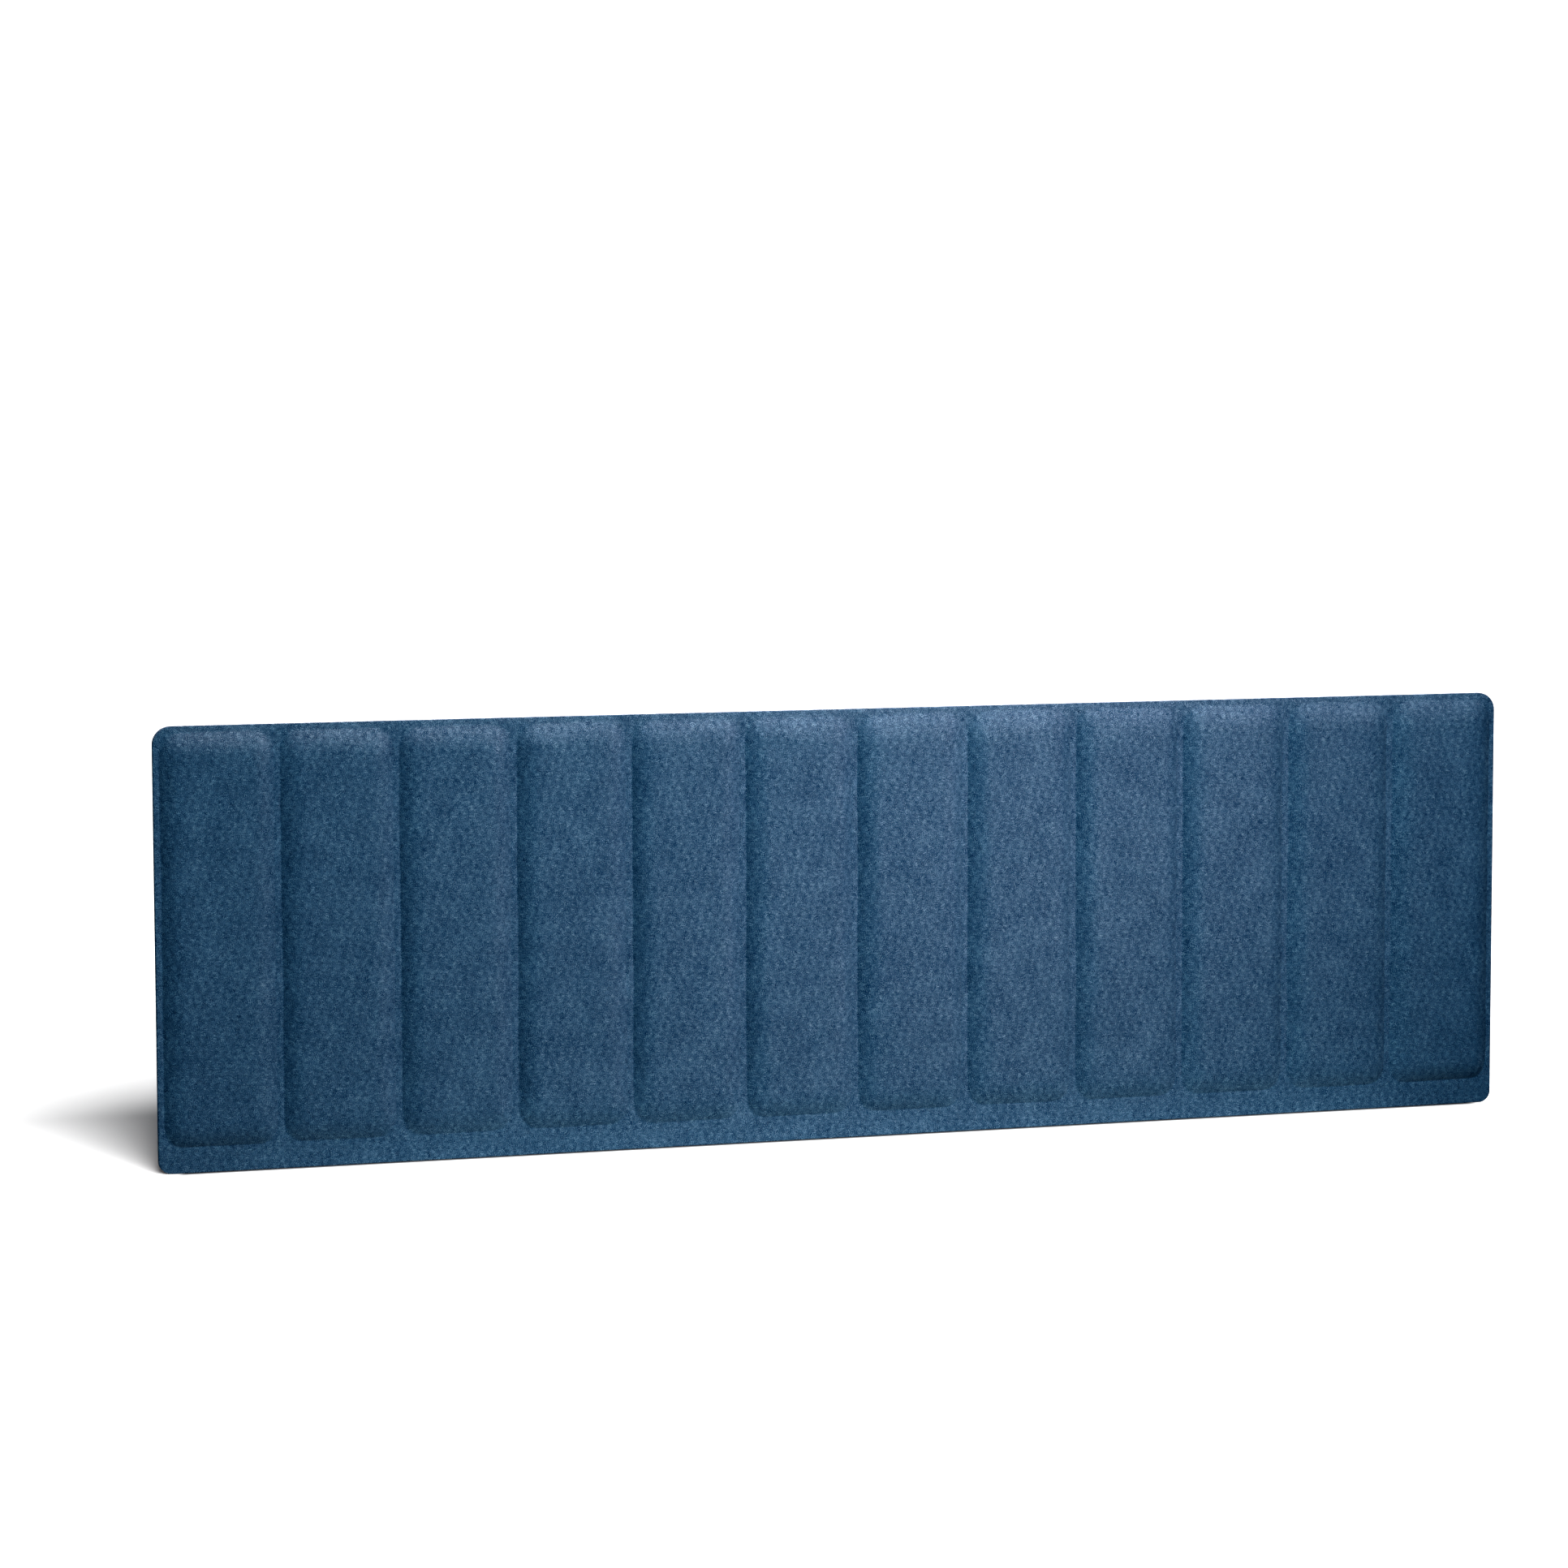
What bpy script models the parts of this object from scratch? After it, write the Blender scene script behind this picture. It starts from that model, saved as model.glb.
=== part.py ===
"""Desk privacy panel: two moulded felt shells bonded back to back over a thin board, with a wadding pad in every
upright channel. Metres, +Z up, +X along the panel, front towards -Y, origin under the middle of the bottom edge.

Every piece is modelled lying flat, with local X along the panel, local Y up its height and local Z out of its face.
It is then stood up by its object's rotation. Local Z = 0 is the middle plane, where the two shells meet.
"""

import math

import bmesh
import bpy
from mathutils import Matrix

NAME = "desk_privacy_panel"

# Whole panel
LENGTH = 1.400
HEIGHT = 0.430
RIM_THICKNESS = 0.007
TOP_CORNER_RADIUS = 0.018
BOTTOM_CORNER_RADIUS = 0.012

# Layers through the thickness, from the middle plane out: board, gap, felt
FELT = 0.0025
GAP = 0.0003
BOARD_THICKNESS = RIM_THICKNESS - 2 * FELT - 2 * GAP
RIM_FACE = RIM_THICKNESS / 2
SHELL_BACK = RIM_FACE - FELT

# The lips of the two shells meet round the board's edge, a gap apart
LIP_WIDTH = 0.003
LIP_FACE = GAP / 2

# Channels
CHANNELS = 12
SIDE_RIM = 0.006
TOP_RIM = 0.006
BOTTOM_STRIP = 0.025
CREASE = 0.0065
CROWN = 0.009
CHANNEL_CORNER_RADIUS = 0.009
CHANNEL_WIDTH = (LENGTH - 2 * SIDE_RIM - (CHANNELS - 1) * CREASE) / CHANNELS
PITCH = CHANNEL_WIDTH + CREASE

# How far in from its foot each side of a channel keeps rising
SIDE_SHOULDER = 0.021
TOP_SHOULDER = 0.028
BOTTOM_SHOULDER = 0.024

# The hollow behind a channel, and the wadding pad that fills it
HOLLOW_INSET = 0.0012
PAD_INSET = HOLLOW_INSET + GAP
PAD_CROWN = CROWN - GAP

# How finely the round shapes are divided
CORNER_STEPS = 4
OUTER_STEPS = 4
INNER_STEPS = 3

# How far a form reaches past the face that it joins or cuts
OVERLAP = 0.001

FELT_BLUE = (0.034, 0.102, 0.212)
BOARD_GREY = (0.20, 0.21, 0.22)
WADDING_WHITE = (0.72, 0.73, 0.70)

UPRIGHT = math.radians(90)
ABOUT_FACE = math.radians(180)


def clear_scene():
    for obj in list(bpy.data.objects):
        bpy.data.objects.remove(obj)


def collection(name):
    made = bpy.data.collections.new(name)
    bpy.context.scene.collection.children.link(made)
    return made


def material(name, colour, roughness):
    made = bpy.data.materials.new(name)
    made.use_nodes = True
    shader = made.node_tree.nodes["Principled BSDF"]
    shader.inputs["Base Color"].default_value = (*colour, 1.0)
    shader.inputs["Roughness"].default_value = roughness
    shader.inputs["Metallic"].default_value = 0.0
    made.diffuse_color = (*colour, 1.0)
    return made


def add_object(name, data, home):
    made = bpy.data.objects.new(name, data)
    home.objects.link(made)
    return made


def add_mesh(name, bm, home):
    bmesh.ops.recalc_face_normals(bm, faces=bm.faces)
    mesh = bpy.data.meshes.new(name)
    bm.to_mesh(mesh)
    bm.free()
    return add_object(name, mesh, home)


def rounded_rectangle(x0, x1, y0, y1, top_radius, bottom_radius):
    """Anticlockwise outline: a quarter circle at each corner, and straight sides between them."""
    corners = (
        (x1 - top_radius, y1 - top_radius, top_radius, 0),
        (x0 + top_radius, y1 - top_radius, top_radius, 90),
        (x0 + bottom_radius, y0 + bottom_radius, bottom_radius, 180),
        (x1 - bottom_radius, y0 + bottom_radius, bottom_radius, 270),
    )
    points = []
    for centre_x, centre_y, radius, start in corners:
        for step in range(CORNER_STEPS + 1):
            angle = math.radians(start + 90 * step / CORNER_STEPS)
            x = centre_x + radius * math.cos(angle)
            y = centre_y + radius * math.sin(angle)
            points.append((x, y))
    return points


def panel_outline(inset):
    return rounded_rectangle(
        inset - LENGTH / 2,
        LENGTH / 2 - inset,
        inset,
        HEIGHT - inset,
        TOP_CORNER_RADIUS - inset,
        BOTTOM_CORNER_RADIUS - inset,
    )


def plate(name, outline, z0, z1, home):
    """A flat plate from z0 to z1: a filled 2D curve, extruded, then made a mesh with its caps welded on."""
    curve = bpy.data.curves.new(name, "CURVE")
    curve.dimensions = "2D"
    curve.fill_mode = "BOTH"
    curve.extrude = (z1 - z0) / 2
    spline = curve.splines.new("POLY")
    spline.points.add(len(outline) - 1)
    for point, (x, y) in zip(spline.points, outline):
        point.co = (x, y, 0, 1)
    spline.use_cyclic_u = True

    drawn = add_object(name + "_outline", curve, home)
    depsgraph = bpy.context.evaluated_depsgraph_get()
    filled = bpy.data.meshes.new_from_object(drawn.evaluated_get(depsgraph))
    bm = bmesh.new()
    bm.from_mesh(filled)
    bpy.data.objects.remove(drawn)
    bpy.data.meshes.remove(filled)
    bmesh.ops.remove_doubles(bm, verts=bm.verts, dist=1e-6)
    bmesh.ops.translate(bm, verts=bm.verts, vec=(0, 0, (z0 + z1) / 2))
    return add_mesh(name, bm, home)


def channel_ring(bm, inset, level, z):
    """The edges of one ring of a channel. level is 0 at the channel's foot and 1 where its flat top starts."""
    outline = rounded_rectangle(
        inset + SIDE_SHOULDER * level - CHANNEL_WIDTH / 2,
        CHANNEL_WIDTH / 2 - inset - SIDE_SHOULDER * level,
        BOTTOM_STRIP + inset + BOTTOM_SHOULDER * level,
        HEIGHT - TOP_RIM - inset - TOP_SHOULDER * level,
        CHANNEL_CORNER_RADIUS,
        CHANNEL_CORNER_RADIUS,
    )
    verts = [bm.verts.new((x, y, z)) for x, y in outline]
    return [bm.edges.new((verts[i - 1], verts[i])) for i in range(len(verts))]


def channel_form(name, inset, base, foot, crown, steps, home):
    """A pillow form on the panel's centre line. It goes straight up from base to foot, then rises as a parabola to
    its flat top. The parabola is steepest at the foot, which makes the crease beside the channel a sharp one."""
    bm = bmesh.new()
    rings = [channel_ring(bm, inset, 0, base)] if base < foot else []
    for step in range(steps + 1):
        level = step / steps
        z = foot + crown * (1 - (1 - level) ** 2)
        rings.append(channel_ring(bm, inset, level, z))
    for lower, upper in zip(rings, rings[1:]):
        bmesh.ops.bridge_loops(bm, edges=lower + upper)
    bmesh.ops.edgeloop_fill(bm, edges=rings[0])
    bmesh.ops.edgeloop_fill(bm, edges=rings[-1])
    return add_mesh(name, bm, home)


def channel_x(index):
    return PITCH * (index - (CHANNELS - 1) / 2)


def repeat_in_all_channels(form):
    form.data.transform(Matrix.Translation((channel_x(0), 0, 0)))
    array = form.modifiers.new("one_per_channel", "ARRAY")
    array.count = CHANNELS
    array.use_relative_offset = False
    array.use_constant_offset = True
    array.constant_offset_displace = (PITCH, 0, 0)


def make_cutter(obj):
    obj.hide_render = True
    obj.display_type = "WIRE"


def boolean(body, operation, other):
    modifier = body.modifiers.new(other.name, "BOOLEAN")
    modifier.operation = operation
    modifier.solver = "EXACT"
    modifier.object = other


def shell_tools(cutters):
    """What shapes a shell: the channels that stand on its rim face, the hollows behind them, and the seat for the
    board. They lie flat, as the shell does before it is stood up."""
    channels = channel_form(
        "channel_forms", 0, RIM_FACE - OVERLAP, RIM_FACE, CROWN, OUTER_STEPS, cutters
    )
    hollows = channel_form(
        "hollow_forms", HOLLOW_INSET, -OVERLAP, SHELL_BACK, CROWN, INNER_STEPS, cutters
    )
    for form in (channels, hollows):
        repeat_in_all_channels(form)
    seat = plate("board_seat", panel_outline(LIP_WIDTH), -OVERLAP, SHELL_BACK, cutters)
    for tool in (channels, hollows, seat):
        make_cutter(tool)
    return channels, hollows, seat


def moulded_mesh(tools, home):
    """The mesh of one felt shell, lying on its back, with its channels up."""
    channels, hollows, seat = tools
    body = plate("felt_moulding", panel_outline(0), LIP_FACE, RIM_FACE, home)
    boolean(body, "UNION", channels)
    boolean(body, "DIFFERENCE", seat)
    boolean(body, "DIFFERENCE", hollows)
    depsgraph = bpy.context.evaluated_depsgraph_get()
    mesh = bpy.data.meshes.new_from_object(body.evaluated_get(depsgraph))
    bpy.data.objects.remove(body)
    return mesh


def stand_up(obj, root, turn):
    """Turns a piece from lying flat to upright, facing the front, or facing the back when turn is half a turn."""
    obj.parent = root
    obj.rotation_euler = (UPRIGHT, 0, turn)


def add_shell(name, mesh, turn, felt, root, home):
    own = mesh.copy()
    own.name = name
    own.materials.clear()
    own.materials.append(felt)
    stand_up(add_object(name, own, home), root, turn)


def add_board(name, finish, root, home):
    half = BOARD_THICKNESS / 2
    board = plate(name, panel_outline(LIP_WIDTH + GAP), -half, half, home)
    board.data.materials.append(finish)
    stand_up(board, root, 0)


def add_infill(side, turn, finish, root, home):
    """One pad behind every channel of a shell, numbered from the shell's own left."""
    for index in range(CHANNELS):
        name = f"{side}_infill_{index + 1:02d}"
        pad = channel_form(
            name, PAD_INSET, SHELL_BACK, SHELL_BACK, PAD_CROWN, INNER_STEPS, home
        )
        pad.data.transform(Matrix.Translation((channel_x(index), 0, 0)))
        pad.data.materials.append(finish)
        stand_up(pad, root, turn)


def build():
    clear_scene()
    panel = collection(NAME)
    cutters = collection("cutters")
    root = add_object(NAME + "_root", None, panel)

    tools = shell_tools(cutters)
    mesh = moulded_mesh(tools, panel)
    for side, turn in (("front", 0), ("rear", ABOUT_FACE)):
        felt = material(f"{side}_felt", FELT_BLUE, 0.95)
        add_shell(f"{side}_felt_shell", mesh, turn, felt, root, panel)
        wadding = material(f"{side}_wadding", WADDING_WHITE, 1.0)
        add_infill(side, turn, wadding, root, panel)
    bpy.data.meshes.remove(mesh)
    add_board("core_board", material("core_board", BOARD_GREY, 0.7), root, panel)


build()
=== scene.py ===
"""Looks, light and camera for the desk privacy panel, built round its CAD. Metres, +Z up, front to -Y."""

import math

import bmesh
import bpy
import numpy as np
from mathutils import Matrix, Vector
from mathutils.geometry import tessellate_polygon


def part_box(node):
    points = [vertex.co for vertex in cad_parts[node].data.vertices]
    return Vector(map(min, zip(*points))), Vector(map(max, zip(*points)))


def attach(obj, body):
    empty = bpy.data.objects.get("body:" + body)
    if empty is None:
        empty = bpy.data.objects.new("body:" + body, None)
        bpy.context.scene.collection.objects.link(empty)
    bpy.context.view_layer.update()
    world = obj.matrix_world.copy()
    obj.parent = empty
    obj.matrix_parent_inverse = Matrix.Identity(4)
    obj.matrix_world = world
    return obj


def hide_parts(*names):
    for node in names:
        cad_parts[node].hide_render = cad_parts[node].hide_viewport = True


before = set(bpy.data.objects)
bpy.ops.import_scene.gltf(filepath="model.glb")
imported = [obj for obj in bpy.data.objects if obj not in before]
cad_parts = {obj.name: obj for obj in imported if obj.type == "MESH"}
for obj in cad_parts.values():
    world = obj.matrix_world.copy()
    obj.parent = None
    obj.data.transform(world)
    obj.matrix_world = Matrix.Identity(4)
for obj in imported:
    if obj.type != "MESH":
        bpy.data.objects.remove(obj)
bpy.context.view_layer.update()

# ---------------------------------------------------------------- sizes from the frame
SHELL_LOW, SHELL_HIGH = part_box("front_felt_shell")
BOARD_LOW, BOARD_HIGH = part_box("core_board")
CHANNELS = sum(name.startswith("front_infill_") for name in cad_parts)
PAD_LOW, PAD_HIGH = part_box("front_infill_01")
LAST_PAD_LOW, LAST_PAD_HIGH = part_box(f"front_infill_{CHANNELS:02d}")

LENGTH = SHELL_HIGH.x - SHELL_LOW.x
HEIGHT = SHELL_HIGH.z - SHELL_LOW.z
GAP = -PAD_HIGH.y - BOARD_HIGH.y
SHELL_BACK = -PAD_HIGH.y
FELT = PAD_LOW.y - SHELL_LOW.y - GAP
RIM_FACE = SHELL_BACK + FELT
CROWN = -SHELL_LOW.y - RIM_FACE
LIP_FACE = -SHELL_HIGH.y
LIP_WIDTH = BOARD_LOW.x - SHELL_LOW.x - GAP

# A pad's foot stands this far inside the foot of its channel, and the hollow round it a gap less
PAD_INSET = 0.0015
HOLLOW_INSET = PAD_INSET - GAP
CHANNEL_WIDTH = PAD_HIGH.x - PAD_LOW.x + 2 * PAD_INSET
CHANNEL_FOOT = PAD_LOW.z - PAD_INSET
CHANNEL_HEAD = PAD_HIGH.z + PAD_INSET
FIRST_CENTRE = (PAD_LOW.x + PAD_HIGH.x) / 2
PITCH = ((LAST_PAD_LOW.x + LAST_PAD_HIGH.x) / 2 - FIRST_CENTRE) / (CHANNELS - 1)

# ---------------------------------------------------------------- shape of the moulded felt
# Outline: radii of the panel's corners
TOP_RADIUS = 0.018
BOTTOM_RADIUS = 0.012

# Channels: how far each shoulder reaches in from the crease, and how square the channel's corners are
SIDE_SHOULDER = 0.021
TOP_SHOULDER = 0.028
BOTTOM_SHOULDER = 0.024
CORNER_POWER = 2.5
PLATEAU_BULGE = 0.0004

# Creases: rounding at the foot of the shoulder, and the narrow groove pressed in along it
CREASE_SOFTNESS = 0.0004
PINCH_DEPTH = 0.0004
PINCH_WIDTH = 0.0011

# Towards the head of a channel, between these distances from the panel's top, the crease fades: its foot is
# rounded more, and its groove loses this share of its depth
HEAD_FADE = (0.050, 0.014)
HEAD_SOFTNESS = 0.0013
HEAD_PINCH_LOSS = 0.65
# The pad also falls away a little towards its head
HEAD_FALL = 0.0008
HEAD_FALL_LENGTH = 0.030

# Hand-made unevenness: heights of the broad and the small lumps, and how far a crease strays from its line,
# each with its shortest and longest wave
BROAD_LUMPS = 0.00022
BROAD_WAVES = (0.028, 0.11)
SMALL_LUMPS = 0.00007
SMALL_WAVES = (0.012, 0.026)
WANDER = 0.00022
WANDER_WAVES = (0.06, 0.22)
# Share of the lumps that is left on the pressed rim
RIM_SHARE = 0.2

# Edges: rounding of the rim's front and of the seam, and how the top of the rim thins
EDGE_ROUND = 0.0009
SEAM_ROUND = 0.0004
TOP_ROLL = 0.0008
TOP_ROLL_WIDTH = 0.0035

# Edges that bend more than this many degrees are shaded sharp
SHARP_ANGLE = 50

# Hidden hollows and pads: radius of their corners, rings up their flanks, and rings in over the pad's top
HOLLOW_CORNER = 0.009
HOLLOW_LEVELS = 5
PAD_LEVELS = 8
PAD_TOP_RINGS = (0.006, 0.012, 0.018)
# The pad's foot is rolled in by this much, up to this level of its flank
PAD_FOOT_ROLL = 0.0012
PAD_ROLL_LEVEL = 0.04
# The pad's top lies this many gaps lower than the crown, and its lumps are this high
PAD_TOP_GAPS = 3
PAD_LUMPS = 0.00025
PAD_WAVES = (0.02, 0.07)

# Spacing of the surface grid: fine at the creases and wider on the flats
FINE = 0.00055
COARSE = 0.0048
GROWTH = 0.20


def graded(start, end, features):
    """Coordinates from start to end, close together at the features and wider away from them."""
    fine = np.linspace(start, end, 40001)
    nearest = np.min([np.abs(fine - f) for f in features], axis=0)
    spacing = np.clip(FINE + GROWTH * nearest, FINE, COARSE)
    steps = np.concatenate([[0], np.cumsum(np.diff(fine) / spacing[1:])])
    count = int(round(steps[-1]))
    return np.interp(np.linspace(0, steps[-1], count + 1), steps, fine)


def waves(x, z, shortest, longest, seed, count=48):
    """A smooth random field of unit spread: plane waves of random direction, length and phase."""
    random = np.random.default_rng(seed)
    total = np.zeros_like(x)
    for _ in range(count):
        angle = random.uniform(0, math.pi)
        length = random.uniform(shortest, longest)
        phase = random.uniform(0, 2 * math.pi)
        along = x * math.cos(angle) + z * math.sin(angle)
        total += np.cos(2 * math.pi * along / length + phase)
    return total * math.sqrt(2 / count)


def felt_height(x, z):
    """How far the felt stands out from the rim face."""
    wander = WANDER * waves(x, z, *WANDER_WAVES, seed=3)
    channel = np.clip(np.round((x - FIRST_CENTRE) / PITCH), 0, CHANNELS - 1)
    off_centre = np.abs(x - FIRST_CENTRE - channel * PITCH)
    inside = CHANNEL_WIDTH / 2 - off_centre + wander
    side = np.maximum(1 - inside / SIDE_SHOULDER, 0)
    foot = 1 - (z - CHANNEL_FOOT + wander) / BOTTOM_SHOULDER
    head = 1 - (CHANNEL_HEAD - z + wander) / TOP_SHOULDER
    end = np.maximum(np.maximum(foot, head), 0)
    level = (side**CORNER_POWER + end**CORNER_POWER) ** (1 / CORNER_POWER)
    rise = CROWN * (1 - level**2)
    fade = np.interp(HEIGHT - z, HEAD_FADE[::-1], (1, 0))
    softness = CREASE_SOFTNESS + HEAD_SOFTNESS * fade**2
    raised = (rise + np.sqrt(rise**2 + softness**2)) / 2
    share = np.clip(raised / CROWN, 0, 1)
    bulge = PLATEAU_BULGE * (1 - (2 * off_centre / CHANNEL_WIDTH) ** 2)
    lumps = BROAD_LUMPS * waves(x, z, *BROAD_WAVES, seed=11)
    lumps += SMALL_LUMPS * waves(x, z, *SMALL_WAVES, seed=12)
    uneven = (RIM_SHARE + (1 - RIM_SHARE) * share) * lumps
    from_crease = rise / CROWN * SIDE_SHOULDER / 2
    pinch = PINCH_DEPTH * (1 - HEAD_PINCH_LOSS * fade) * np.exp(-((from_crease / PINCH_WIDTH) ** 2))
    roll = TOP_ROLL * np.exp(-(((HEIGHT - z) / TOP_ROLL_WIDTH) ** 2))
    fall = HEAD_FALL * np.exp(-np.abs(CHANNEL_HEAD - z) / HEAD_FALL_LENGTH)
    return raised + share * (bulge - fall) + uneven - pinch - roll


def corners():
    """Each corner of the grid: its signs, the centre of its arc and the radius of the grid's edge there."""
    for sign_x in (-1, 1):
        for sign_z, radius in ((-1, BOTTOM_RADIUS), (1, TOP_RADIUS)):
            centre_x = sign_x * (LENGTH / 2 - radius)
            centre_z = HEIGHT - radius if sign_z > 0 else radius
            yield sign_x, sign_z, centre_x, centre_z, radius - EDGE_ROUND


def round_corners(x, z):
    """Bends the grid's square corners into quarter circles."""
    x, z = x.copy(), z.copy()
    for sign_x, sign_z, centre_x, centre_z, radius in corners():
        across = np.maximum((x - centre_x) * sign_x, 0)
        up = np.maximum((z - centre_z) * sign_z, 0)
        here = (across > 0) & (up > 0)
        bent_x = across * np.sqrt(1 - up**2 / (2 * radius**2) * here)
        bent_z = up * np.sqrt(1 - across**2 / (2 * radius**2) * here)
        x = np.where(here, centre_x + sign_x * bent_x, x)
        z = np.where(here, centre_z + sign_z * bent_z, z)
    return x, z


def outward(x, z):
    """The outline's outward direction at points on the grid's edge."""
    normal = np.zeros((len(x), 2))
    half, low, high = LENGTH / 2 - EDGE_ROUND, EDGE_ROUND, HEIGHT - EDGE_ROUND
    normal[np.isclose(x, -half), 0] = -1
    normal[np.isclose(x, half), 0] = 1
    normal[np.isclose(z, low), 1] = -1
    normal[np.isclose(z, high), 1] = 1
    for sign_x, sign_z, centre_x, centre_z, radius in corners():
        dx, dz = x - centre_x, z - centre_z
        here = (dx * sign_x >= -1e-9) & (dz * sign_z >= -1e-9)
        normal[here, 0] = dx[here]
        normal[here, 1] = dz[here]
    return normal / np.linalg.norm(normal, axis=1)[:, None]


class Surface:
    """Points and faces of one closed body, gathered before they become a mesh."""

    def __init__(self):
        self.points = []
        self.faces = []

    def add(self, x, y, z):
        first = len(self.points)
        self.points += zip(np.ravel(x).tolist(), np.ravel(y).tolist(), np.ravel(z).tolist())
        return np.arange(first, len(self.points))

    def bridge(self, one, other):
        """Quads between two closed rings of the same count."""
        quads = np.stack([one, np.roll(one, -1), np.roll(other, -1), other], axis=1)
        self.faces += quads.tolist()

    def fill(self, outline, holes=()):
        """Triangles over a flat region, from its outline and the rings of its holes."""
        loops = [outline, *holes]
        order = np.concatenate(loops)
        flat = [[Vector((self.points[i][0], self.points[i][2], 0)) for i in loop] for loop in loops]
        self.faces += [[int(order[i]) for i in corner] for corner in tessellate_polygon(flat)]

    def mesh(self, name):
        made = bpy.data.meshes.new(name)
        made.from_pydata(self.points, [], self.faces)
        made.update()
        return made


def channel_ring(surface, centre, inset, level, y, steps=6):
    """One ring of the hollow or the pad behind a channel. level is 0 at the foot and 1 at the flat top."""
    radius = HOLLOW_CORNER
    half = CHANNEL_WIDTH / 2 - inset - SIDE_SHOULDER * level - radius
    low = CHANNEL_FOOT + inset + BOTTOM_SHOULDER * level + radius
    high = CHANNEL_HEAD - inset - TOP_SHOULDER * level - radius
    x, z = [], []
    for quarter, (cx, cz) in enumerate(((half, high), (-half, high), (-half, low), (half, low))):
        angle = np.radians(90 * quarter + np.linspace(0, 90, steps + 1))
        x.append(centre + cx + radius * np.cos(angle))
        z.append(cz + radius * np.sin(angle))
    x, z = np.concatenate(x), np.concatenate(z)
    return surface.add(x, np.full_like(x, y), z)


def add_outer_face(surface):
    """The visible face: one grid of quads. Returns the ring of points round its edge."""
    centres = [FIRST_CENTRE + PITCH * i for i in range(CHANNELS)]
    creases = [centre + side * CHANNEL_WIDTH / 2 for centre in centres for side in (-1, 1)]
    half, low, high = LENGTH / 2 - EDGE_ROUND, EDGE_ROUND, HEIGHT - EDGE_ROUND
    x_line = graded(-half, half, [-half, half, *creases])
    z_line = graded(low, high, [low, CHANNEL_FOOT, CHANNEL_HEAD, high])
    x, z = round_corners(*np.meshgrid(x_line, z_line))
    y = -(RIM_FACE + felt_height(x, z))
    index = surface.add(x, y, z).reshape(x.shape)
    quads = np.stack([index[:-1, :-1], index[:-1, 1:], index[1:, 1:], index[1:, :-1]], axis=-1)
    surface.faces += quads.reshape(-1, 4).tolist()
    return np.concatenate([index[0, :-1], index[:-1, -1], index[-1, :0:-1], index[:0:-1, 0]])


def add_edge(surface, ring):
    """Rolls the face over the rim, down the cut edge and in along the lip to the seat of the board."""
    start = np.array([surface.points[i] for i in ring])
    sunk = RIM_FACE + start[:, 1]
    normal = outward(start[:, 0], start[:, 2])
    profile = []
    for angle in np.radians(np.linspace(0, 90, 6)[1:]):
        profile.append((EDGE_ROUND * math.sin(angle), RIM_FACE - EDGE_ROUND * (1 - math.cos(angle))))
    for angle in np.radians(np.linspace(0, 90, 4)):
        out = EDGE_ROUND - SEAM_ROUND * (1 - math.cos(angle))
        profile.append((out, LIP_FACE + SEAM_ROUND * (1 - math.sin(angle))))
    profile.append((EDGE_ROUND - LIP_WIDTH, LIP_FACE))
    profile.append((EDGE_ROUND - LIP_WIDTH, SHELL_BACK))
    for out, depth in profile:
        x = start[:, 0] + out * normal[:, 0]
        z = start[:, 2] + out * normal[:, 1]
        y = sunk * max(depth - SHELL_BACK, 0) / FELT - depth
        following = surface.add(x, y, z)
        surface.bridge(ring, following)
        ring = following
    return ring


def add_hollow(surface, centre):
    """The hollow behind one channel. Returns its ring on the shell's back."""
    foot = ring = channel_ring(surface, centre, HOLLOW_INSET, 0, -SHELL_BACK)
    for step in range(1, HOLLOW_LEVELS + 1):
        level = step / HOLLOW_LEVELS
        depth = SHELL_BACK + CROWN * (1 - (1 - level) ** 2)
        following = channel_ring(surface, centre, HOLLOW_INSET, level, -depth)
        surface.bridge(ring, following)
        ring = following
    surface.fill(ring)
    return foot


def felt_shell_mesh():
    surface = Surface()
    edge = add_outer_face(surface)
    seat = add_edge(surface, edge)
    hollows = [add_hollow(surface, FIRST_CENTRE + PITCH * i) for i in range(CHANNELS)]
    surface.fill(seat, hollows)
    return surface.mesh("felt_shell")


def finished(mesh):
    """Faces turned outward, and smooth but for the edges that are really sharp."""
    bm = bmesh.new()
    bm.from_mesh(mesh)
    bmesh.ops.recalc_face_normals(bm, faces=bm.faces)
    bm.to_mesh(mesh)
    bm.free()
    mesh.shade_smooth()
    mesh.set_sharp_from_angle(angle=math.radians(SHARP_ANGLE))
    return mesh


def wadding_pad_mesh(name, centre, seed):
    """A soft pad, crowned along its middle, with a rolled foot and a slightly lumpy face."""
    surface = Surface()
    rings = [channel_ring(surface, centre, PAD_INSET + PAD_FOOT_ROLL, 0, -SHELL_BACK)]
    for step in range(PAD_LEVELS + 1):
        level = PAD_ROLL_LEVEL + (1 - PAD_ROLL_LEVEL) * step / PAD_LEVELS
        depth = SHELL_BACK + (CROWN - PAD_TOP_GAPS * GAP) * (1 - (1 - level) ** 2)
        rings.append(channel_ring(surface, centre, PAD_INSET, level, -depth))
    for inward in PAD_TOP_RINGS:
        rings.append(channel_ring(surface, centre, PAD_INSET + inward, 1, -depth))
    for one, other in zip(rings, rings[1:]):
        surface.bridge(one, other)
    surface.fill(rings[0])
    surface.fill(rings[-1])
    mesh = surface.mesh(name)
    points = np.array(surface.points)
    lumps = PAD_LUMPS * np.abs(waves(points[:, 0], points[:, 2], *PAD_WAVES, seed))
    depth_share = np.clip((-points[:, 1] - SHELL_BACK) / CROWN, 0, 1)
    points[:, 1] += lumps * depth_share
    mesh.vertices.foreach_set("co", points.ravel())
    return mesh


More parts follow.
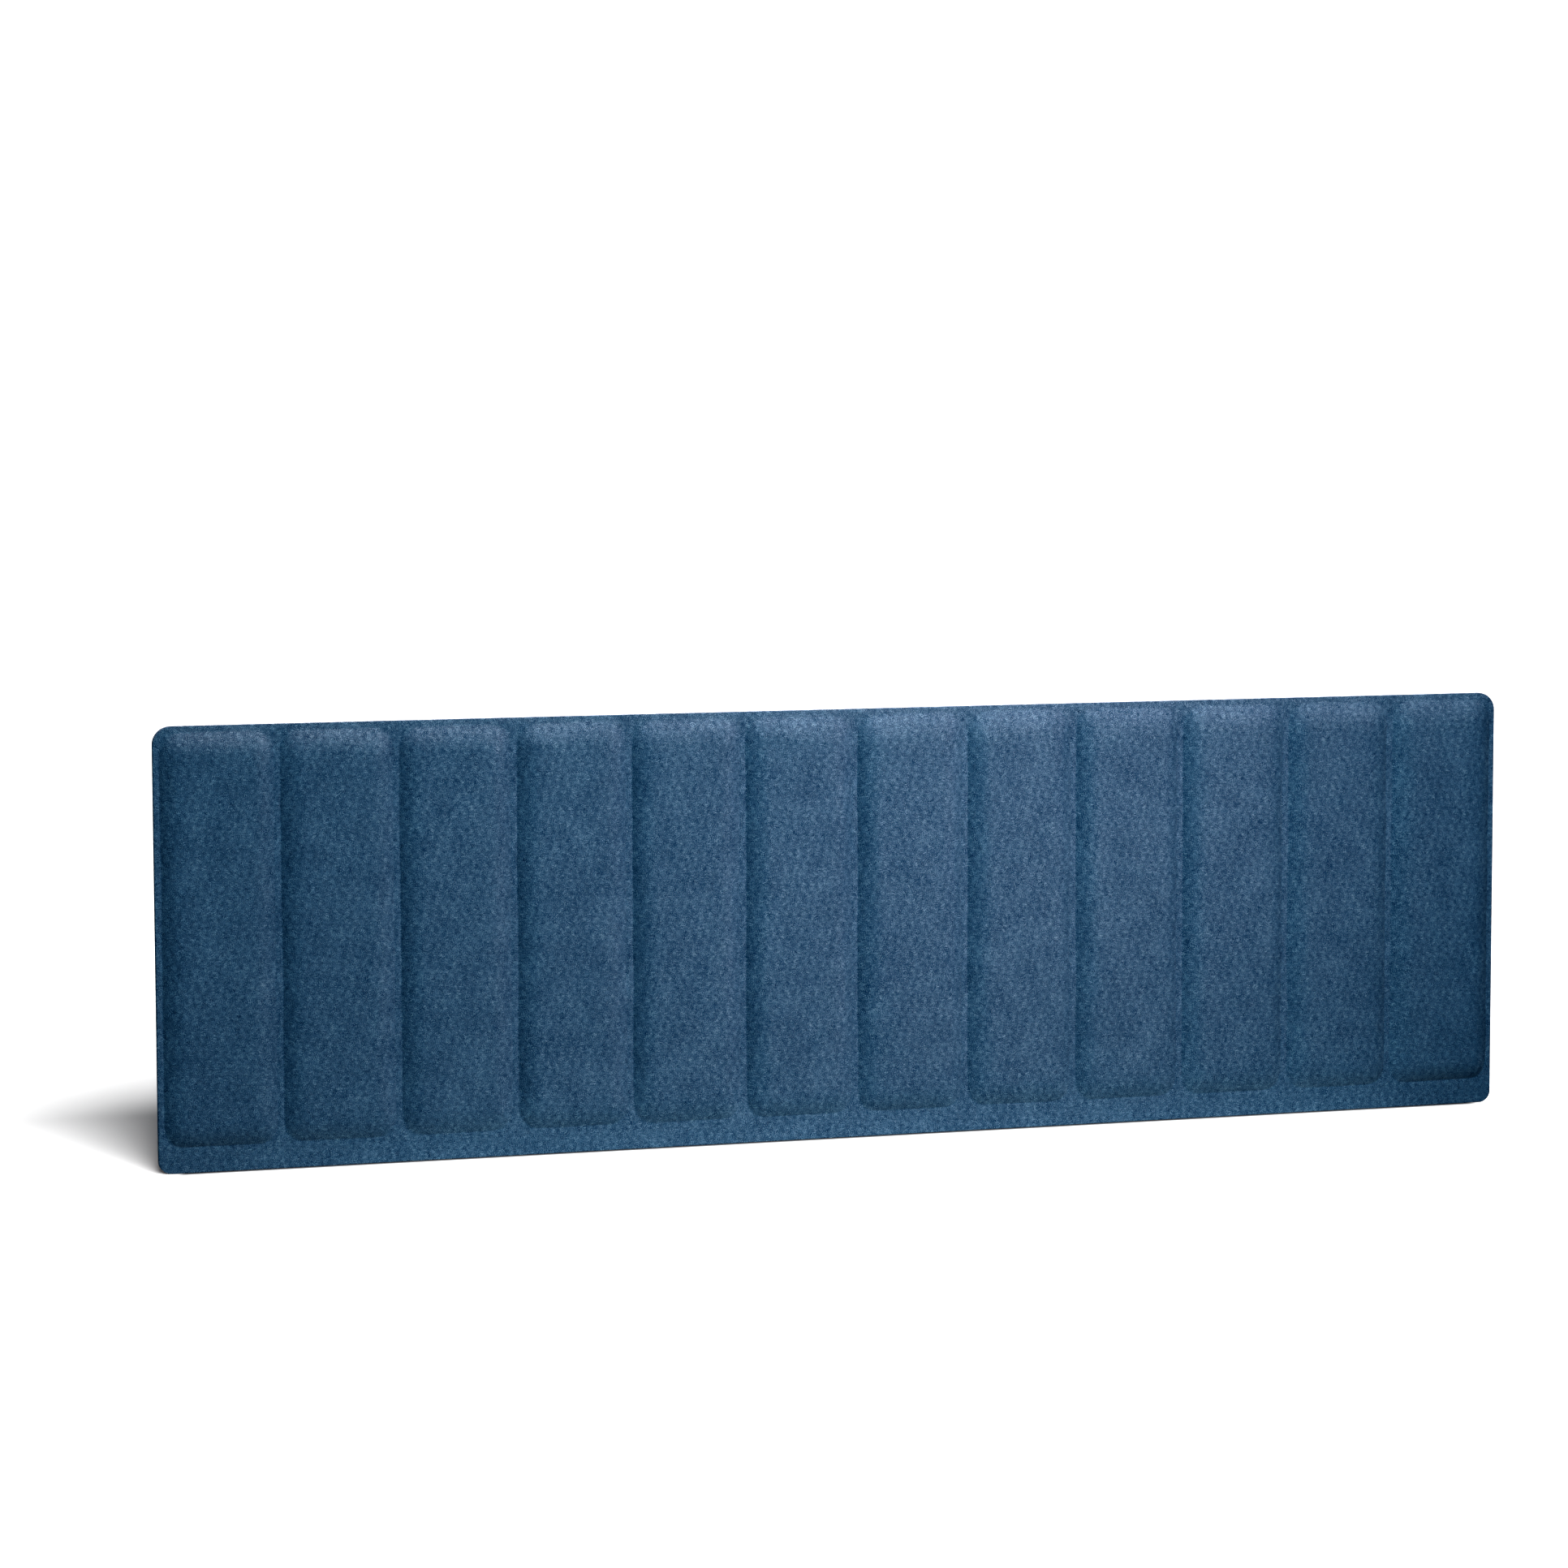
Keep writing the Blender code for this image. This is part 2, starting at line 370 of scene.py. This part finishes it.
# ---------------------------------------------------------------- materials
# Layers of the felt, the last a fine grain: angle in the face (degrees), length and width (mm), weight
FIBRE_LAYERS = (
    (22, 9.0, 1.14, 0.52),
    (-12, 9.5, 1.14, 0.54),
    (54, 8.0, 1.12, 0.43),
    (-46, 8.0, 1.12, 0.45),
    (86, 7.5, 1.12, 0.35),
    (12, 1.5, 0.80, 1.35),
)
# How far each layer's pattern is moved from the one before (mm)
LAYER_SHIFT = 17.0
# Bends of the fibres: size of a bend and its reach (mm)
FIBRE_BEND = (10.0, 4.5)
# Cross-section of a fibre, by the distance from its cell's centre: from its edge to where it is full
FIBRE_FLANK = (0.46, 0.06)
# The thin border round it: the same two distances, and its weight, which turns the tone the other way
BORDER_FLANK = (0.84, 0.28)
BORDER_WEIGHT = -0.34
# Tones of the fibres: most are dark and few are pale, from the lowest tone up over a range
TONE_POWER = 1.5
TONE_RANGE = 1.75
LOWEST_TONE = -0.70
# Cloudiness of the felt: size (mm) and weight
CLOUDS = ((9.0, 0.10), (22.0, 0.24))
# The shade of plain felt, on the scale from 0 to 1 that the tones below are placed on
MIDDLE_SHADE = 0.520
# Colour of the felt from its darkest gaps to its palest fibres
FELT_TONES = (
    (0.00, (0.0000, 0.0074, 0.041)),
    (0.28, (0.0008, 0.0318, 0.092)),
    (0.50, (0.0100, 0.0655, 0.156)),
    (0.72, (0.0505, 0.1430, 0.275)),
    (1.00, (0.1930, 0.3550, 0.550)),
)
# Roughness of plain dark felt, and what the palest fibres add to it
FELT_ROUGHNESS = (0.70, -0.12)
# Shine of the palest fibres
FELT_SHINE = 0.8
# Slant of the pattern over the cut edge: share of the way in from the face that is added to x and to z
EDGE_LEAN = (0.8, 0.6)


class Graph:
    """A node material under construction. A socket given as an input is linked, and anything else is set."""

    def __init__(self, name):
        self.material = bpy.data.materials.new(name)
        self.material.use_nodes = True
        self.tree = self.material.node_tree
        self.tree.nodes.clear()

    def node(self, kind, inputs, **settings):
        made = self.tree.nodes.new(kind)
        for key, value in settings.items():
            setattr(made, key, value)
        for key, value in inputs.items():
            if isinstance(value, bpy.types.NodeSocket):
                self.tree.links.new(value, made.inputs[key])
            else:
                made.inputs[key].default_value = value
        return made

    def math(self, operation, *values, clamp=False):
        inputs = dict(enumerate(values))
        return self.node("ShaderNodeMath", inputs, operation=operation, use_clamp=clamp).outputs[0]

    def vector_math(self, operation, inputs):
        return self.node("ShaderNodeVectorMath", inputs, operation=operation).outputs[0]

    def smoothstep(self, value, start, end):
        inputs = {"Value": value, "From Min": start, "From Max": end}
        return self.node("ShaderNodeMapRange", inputs, interpolation_type="SMOOTHSTEP").outputs[0]

    def noise(self, vector, size, detail=2.0, roughness=0.5):
        inputs = {"Vector": vector, "Scale": 1 / size, "Detail": detail, "Roughness": roughness}
        return self.node("ShaderNodeTexNoise", inputs).outputs

    def mix(self, share, one, other):
        inputs = {0: share, 6: one, 7: other}
        return self.node("ShaderNodeMix", inputs, data_type="RGBA").outputs[2]

    def surface(self, shader):
        self.node("ShaderNodeOutputMaterial", {"Surface": shader})
        return self.material


def object_millimetres(graph):
    place = graph.node("ShaderNodeTexCoord", {}).outputs["Object"]
    return graph.vector_math("SCALE", {0: place, "Scale": 1000.0})


def curled(graph, place, size, reach):
    """The same place, pushed about by a noise, so that straight strokes laid over it curl."""
    noise = graph.noise(place, size, detail=0.0)["Color"]
    push = graph.vector_math("SUBTRACT", {0: noise, 1: (0.5, 0.5, 0.5)})
    return graph.vector_math("MULTIPLY_ADD", {0: push, 1: (reach, reach, reach), 2: place})


def face_millimetres(graph, place):
    """Flat coordinates on the panel's face. They slant over the cut edge, across the outline at every corner,
    so that the pattern runs on round the edge and isn't drawn out."""
    part = graph.node("ShaderNodeSeparateXYZ", {0: place}).outputs
    inward = graph.math("SUBTRACT", 1000 * RIM_FACE, graph.math("ABSOLUTE", part["Y"]))
    lean = graph.math("MAXIMUM", inward, 0.0)
    above_middle = graph.math("SUBTRACT", part["Z"], 1000 * HEIGHT / 2)
    corner = graph.math("SIGN", graph.math("MULTIPLY", part["X"], above_middle))
    u = graph.math("MULTIPLY_ADD", lean, EDGE_LEAN[0], part["X"])
    v = graph.math("MULTIPLY_ADD", graph.math("MULTIPLY", lean, corner), EDGE_LEAN[1], part["Z"])
    return graph.node("ShaderNodeCombineXYZ", {"X": u, "Y": v}).outputs[0]


def fibres(graph, place, angle, length, width, shift):
    """Thin, tapered fibres along an angle in the face, one to a cell and each of its own tone, dark to pale.
    Returns the tone, which turns the other way in a thin border round each fibre, and the fibres' shape."""
    laid = graph.node("ShaderNodeMapping", {
        "Vector": place, "Location": (shift, shift / 2, 0),
        "Rotation": (0, 0, math.radians(angle)), "Scale": (length, width, 1)},
        vector_type="TEXTURE").outputs[0]
    cell = graph.node("ShaderNodeTexVoronoi", {"Vector": laid, "Scale": 1.0}, voronoi_dimensions="2D")
    shape = graph.smoothstep(cell.outputs["Distance"], *FIBRE_FLANK)
    border = graph.smoothstep(cell.outputs["Distance"], *BORDER_FLANK)
    relief = graph.math("MULTIPLY_ADD", border, BORDER_WEIGHT, shape)
    tone = graph.node("ShaderNodeSeparateColor", {"Color": cell.outputs["Color"]}).outputs[0]
    strength = graph.math("MULTIPLY_ADD", graph.math("POWER", tone, TONE_POWER), TONE_RANGE, LOWEST_TONE)
    return graph.math("MULTIPLY", relief, strength), shape


def weighted_sum(graph, terms):
    total = 0.0
    for value, weight in terms:
        total = graph.math("MULTIPLY_ADD", value, weight, total)
    return total


def felt_material(name):
    """Melange felt: short dark and pale fibres in mixed directions on a soft, cloudy blue ground."""
    graph = Graph(name)
    place = object_millimetres(graph)
    bent = curled(graph, face_millimetres(graph, place), *FIBRE_BEND)
    tones, strokes = [], []
    for number, (angle, length, width, weight) in enumerate(FIBRE_LAYERS):
        tone, stroke = fibres(graph, bent, angle, length, width, LAYER_SHIFT * number)
        tones.append((tone, weight))
        strokes.append((stroke, weight))
    fleck = weighted_sum(graph, tones)
    clouds = []
    for size, weight in CLOUDS:
        value = graph.math("SUBTRACT", graph.noise(place, size, detail=1.0)["Fac"], 0.5)
        clouds.append((value, weight))
    cloud = weighted_sum(graph, clouds)
    shade = graph.math("ADD", graph.math("ADD", fleck, cloud), MIDDLE_SHADE, clamp=True)
    ramp = graph.node("ShaderNodeValToRGB", {"Fac": shade})
    for position, tone in FELT_TONES[1:-1]:
        ramp.color_ramp.elements.new(position)
    for element, (position, tone) in zip(ramp.color_ramp.elements, FELT_TONES):
        element.position, element.color = position, (*tone, 1)
    height = weighted_sum(graph, [*strokes[:2], (cloud, 1.0)])
    bump = graph.node("ShaderNodeBump", {"Height": height, "Strength": 0.5, "Distance": 0.00035})
    rough = graph.math("MULTIPLY_ADD", shade, FELT_ROUGHNESS[1], FELT_ROUGHNESS[0])
    shine = graph.math("MULTIPLY", graph.smoothstep(shade, 0.05, 0.95), FELT_SHINE)
    shader = graph.node("ShaderNodeBsdfPrincipled", {
        "Base Color": ramp.outputs["Color"], "Roughness": rough, "Normal": bump.outputs[0],
        "Specular IOR Level": shine})
    return graph.surface(shader.outputs[0])


def wadding_material(name):
    """Lofty white wadding: soft clumps and loose crossing threads."""
    graph = Graph(name)
    place = object_millimetres(graph)
    bent = curled(graph, face_millimetres(graph, place), 9.0, 6.0)
    threads = [(fibres(graph, bent, angle, 9.0, 0.5, 5.0 * angle)[1], 0.4) for angle in (-50, 8, 62)]
    clumps = graph.noise(place, 14.0, detail=4.0)["Fac"]
    shade = graph.math("ADD", weighted_sum(graph, threads), clumps, clamp=True)
    colour = graph.mix(shade, (0.52, 0.52, 0.49, 1), (0.80, 0.81, 0.78, 1))
    bump = graph.node("ShaderNodeBump", {"Height": shade, "Strength": 0.8, "Distance": 0.0008})
    shader = graph.node("ShaderNodeBsdfPrincipled", {
        "Base Color": colour, "Roughness": 0.98, "Normal": bump.outputs[0], "Sheen Weight": 0.3})
    return graph.surface(shader.outputs[0])


def board_material(name):
    """Pressed board of recycled felt: grey, with pale and dark specks."""
    graph = Graph(name)
    place = object_millimetres(graph)
    face = face_millimetres(graph, place)
    specks = [fibres(graph, face, angle, 2.2, 0.8, 3.0 * angle) for angle in (-25, 30, 80)]
    tone = weighted_sum(graph, [(tone, 0.5) for tone, stroke in specks])
    clouds = graph.noise(place, 25.0, detail=3.0)["Fac"]
    shade = graph.math("ADD", tone, clouds, clamp=True)
    colour = graph.mix(shade, (0.12, 0.125, 0.13, 1), (0.31, 0.32, 0.33, 1))
    rough = graph.math("MULTIPLY_ADD", shade, 0.2, 0.65)
    bump = graph.node("ShaderNodeBump", {"Height": shade, "Strength": 0.4, "Distance": 0.0002})
    shader = graph.node("ShaderNodeBsdfPrincipled", {
        "Base Color": colour, "Roughness": rough, "Normal": bump.outputs[0]})
    return graph.surface(shader.outputs[0])


# ---------------------------------------------------------------- the pieces
def place_piece(name, mesh, material, node):
    """Puts a finished mesh in the scene in place of a CAD node."""
    mesh.name = name
    mesh.materials.clear()
    mesh.materials.append(material)
    piece = bpy.data.objects.new(name, finished(mesh))
    bpy.context.scene.collection.objects.link(piece)
    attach(piece, "root")
    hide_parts(node)


def add_shells():
    """Both faces of the panel come from one mould: the rear shell is the front one turned half round."""
    felt = felt_material("melange_felt")
    front = felt_shell_mesh()
    rear = front.copy()
    rear.transform(Matrix.Rotation(math.pi, 4, "Z"))
    place_piece("front_felt_skin", front, felt, "front_felt_shell")
    place_piece("rear_felt_skin", rear, felt, "rear_felt_shell")


def add_wadding():
    wadding = wadding_material("polyester_wadding")
    for turn, side in enumerate(("front", "rear")):
        for i in range(CHANNELS):
            number = f"{i + 1:02d}"
            mesh = wadding_pad_mesh("pad", FIRST_CENTRE + PITCH * i, seed=40 + i + CHANNELS * turn)
            mesh.transform(Matrix.Rotation(math.pi * turn, 4, "Z"))
            name = f"{side}_wadding_{number}"
            place_piece(name, mesh, wadding, f"{side}_infill_{number}")


def finish_board():
    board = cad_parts["core_board"]
    board.data.materials.clear()
    board.data.materials.append(board_material("pressed_board"))


# ---------------------------------------------------------------- floor, light and camera
# The camera stands in front of the panel's left end and looks slightly down
CAMERA_PLACE = (-1.3624, -4.2061, 0.7558)
CAMERA_YAW = 17.052
CAMERA_PITCH = -5.182
CAMERA_ROLL = -0.169
SENSOR = 36.0
FOCAL_LENGTH = 102.27

FLOOR_SIZE = 200.0
FLOOR_DROP = 0.0005
FLOOR_WHITE = 0.86
# How bright the floor is to the panel, as a share of how bright it is to the camera: close by, and beyond
NEAR_BOUNCE = 0.33
FAR_BOUNCE = 0.015
# Where the near bounce starts to fade and where it ends, out from the panel and towards its two ends
NEAR_DISTANCE = (0.035, 0.085)
NEAR_ENDS = ((-0.78, -0.35), (0.66, 0.52))
# A soft contact shade painted on the floor along the panel's foot, seen by the camera only: from its face
# outwards, and where it ends in x
CONTACT_REACH = (0.0035, 0.018)
CONTACT_END = (0.672, 0.692)
PAINTED_SHADE_TONE = (0.020, 0.020, 0.024, 1)
# The air all round is white to the camera, and gives the panel hardly any light
WORLD_SEEN = 1.2
WORLD_LIGHT = 0.01

# One broad, low light makes the floor white and casts the panel's soft shadow back and to the left
SHADOW_LIGHT_AZIMUTH = 15.5
SHADOW_LIGHT_HEIGHT = 23.0
SHADOW_LIGHT_SPREAD = 55.0
SHADOW_LIGHT_POWER = 19.4
SHADOW_LIGHT_DISTANCE = 5.0

# Softboxes on the panel: name, place, point aimed at, width, height, spread (degrees), power (W), colour
WHITE = (1.00, 1.00, 1.00)
WARM = (1.00, 0.72, 0.63)
AMBER = (1.00, 0.71, 0.57)
COOL = (0.46, 0.90, 1.00)
BLUE = (0.00, 0.42, 1.00)
BOUNCE = (0.58, 0.86, 0.84)
SOFTBOXES = (
    ("key_softbox", (0.15, -1.3, 1.2), (0.1, 0.0, 0.25), 0.5, 0.5, 180, 15.3, COOL),
    ("top_softbox", (0.03, 0.2, 1.0), (0.03, 0.0, 0.3), 1.7, 0.35, 180, 39.5, AMBER),
    ("side_softbox", (1.1, -1.3, 0.9), (0.0, 0.0, 0.25), 0.4, 0.4, 45, 1.6, WARM),
    ("left_fill", (-2.0, -2.0, 0.8), (0.0, 0.0, 0.2), 1.0, 1.0, 180, 7.8, COOL),
    ("left_end_fill", (-1.15, -0.50, 0.25), (-0.69, 0.0, 0.20), 0.3, 0.4, 180, 0.16, BLUE),
    ("right_end_fill", (1.15, -0.50, 0.25), (0.69, 0.0, 0.20), 0.3, 0.4, 180, 0.20, BLUE),
    ("back_softbox", (1.2, 2.4, 0.6), (0.1, 0.0, 0.2), 1.2, 0.8, 180, 45.0, WHITE),
)


def floor_material():
    """Matt white paper, with a soft contact shade painted along the panel's foot that only the camera sees.
    It throws a cool light back on the panel from close by, and little from beyond.
    """
    graph = Graph("studio_white")
    place = graph.node("ShaderNodeTexCoord", {}).outputs["Object"]
    part = graph.node("ShaderNodeSeparateXYZ", {0: place}).outputs
    distance = graph.math("ABSOLUTE", part["Y"])
    near = graph.smoothstep(distance, NEAR_DISTANCE[1], NEAR_DISTANCE[0])
    for outer, inner in NEAR_ENDS:
        near = graph.math("MULTIPLY", near, graph.smoothstep(part["X"], outer, inner))
    tones = [[FLOOR_WHITE * bounce * channel for channel in BOUNCE] for bounce in (FAR_BOUNCE, NEAR_BOUNCE)]
    thrown = graph.mix(near, (*tones[0], 1), (*tones[1], 1))
    seen = graph.node("ShaderNodeLightPath", {}).outputs["Is Camera Ray"]
    # Painted shade: to the camera the floor darkens to a dark tone close along the panel's foot, in place of
    # a contact shadow there
    beyond = graph.smoothstep(graph.math("ABSOLUTE", part["X"]), *CONTACT_END)
    open_floor = graph.math("MAXIMUM", graph.smoothstep(distance, *CONTACT_REACH), beyond)
    white = graph.mix(open_floor, PAINTED_SHADE_TONE, (FLOOR_WHITE, FLOOR_WHITE, FLOOR_WHITE, 1))
    matt = graph.node("ShaderNodeBsdfDiffuse", {"Color": graph.mix(seen, thrown, white)})
    return graph.surface(matt.outputs[0])


def add_floor():
    bpy.ops.mesh.primitive_plane_add(size=FLOOR_SIZE, location=(0, 0, -FLOOR_DROP))
    floor = bpy.context.object
    floor.name = "studio_floor"
    floor.data.materials.append(floor_material())
    return floor


def light_group(name, floor, state):
    """The objects that a light falls on: only the floor, or everything but the floor."""
    group = bpy.data.collections.new(name)
    group.objects.link(floor)
    group.collection_objects[0].light_linking.link_state = state
    return group


def add_world():
    """White to the camera, and almost no light to anything else."""
    world = bpy.data.worlds.new("studio_air")
    bpy.context.scene.world = world
    world.use_nodes = True
    tree = world.node_tree
    tree.nodes.clear()
    seen = tree.nodes.new("ShaderNodeLightPath").outputs["Is Camera Ray"]
    strength = tree.nodes.new("ShaderNodeMapRange")
    strength.inputs["To Min"].default_value = WORLD_LIGHT
    strength.inputs["To Max"].default_value = WORLD_SEEN
    tree.links.new(seen, strength.inputs["Value"])
    background = tree.nodes.new("ShaderNodeBackground")
    background.inputs["Color"].default_value = (1, 1, 1, 1)
    tree.links.new(strength.outputs[0], background.inputs["Strength"])
    output = tree.nodes.new("ShaderNodeOutputWorld")
    tree.links.new(background.outputs[0], output.inputs["Surface"])


def place_light(name, light, place, target, group):
    made = bpy.data.objects.new(name, light)
    bpy.context.scene.collection.objects.link(made)
    aim = (Vector(target) - Vector(place)).to_track_quat("-Z", "Y")
    made.matrix_world = Matrix.Translation(place) @ aim.to_matrix().to_4x4()
    made.light_linking.receiver_collection = group
    made.visible_camera = False


def add_shadow_light(group):
    light = bpy.data.lights.new("shadow_light", "SUN")
    light.angle = math.radians(SHADOW_LIGHT_SPREAD)
    light.energy = SHADOW_LIGHT_POWER
    azimuth, height = math.radians(SHADOW_LIGHT_AZIMUTH), math.radians(SHADOW_LIGHT_HEIGHT)
    out = math.cos(height)
    direction = Vector((out * math.sin(azimuth), -out * math.cos(azimuth), math.sin(height)))
    place_light("shadow_light", light, SHADOW_LIGHT_DISTANCE * direction, (0, 0, 0), group)


def add_softbox(group, name, place, target, width, height, spread, power, colour):
    light = bpy.data.lights.new(name, "AREA")
    light.shape = "RECTANGLE"
    light.size = width
    light.size_y = height
    light.spread = math.radians(spread)
    light.energy = power
    light.color = colour
    place_light(name, light, place, target, group)


def add_camera():
    camera = bpy.data.cameras.new("camera")
    camera.sensor_width = SENSOR
    camera.lens = FOCAL_LENGTH
    camera.clip_end = 200.0
    made = bpy.data.objects.new("camera", camera)
    bpy.context.scene.collection.objects.link(made)
    yaw = Matrix.Rotation(math.radians(-CAMERA_YAW), 4, "Z")
    pitch = Matrix.Rotation(math.radians(90 + CAMERA_PITCH), 4, "X")
    roll = Matrix.Rotation(math.radians(CAMERA_ROLL), 4, "Z")
    made.matrix_world = Matrix.Translation(CAMERA_PLACE) @ yaw @ pitch @ roll
    bpy.context.scene.camera = made


add_shells()
add_wadding()
finish_board()
floor = add_floor()
add_world()
add_shadow_light(light_group("floor_only", floor, "INCLUDE"))
for settings in SOFTBOXES:
    add_softbox(light_group(settings[0] + "_reach", floor, "EXCLUDE"), *settings)
add_camera()
bpy.context.scene.view_settings.view_transform = "Standard"
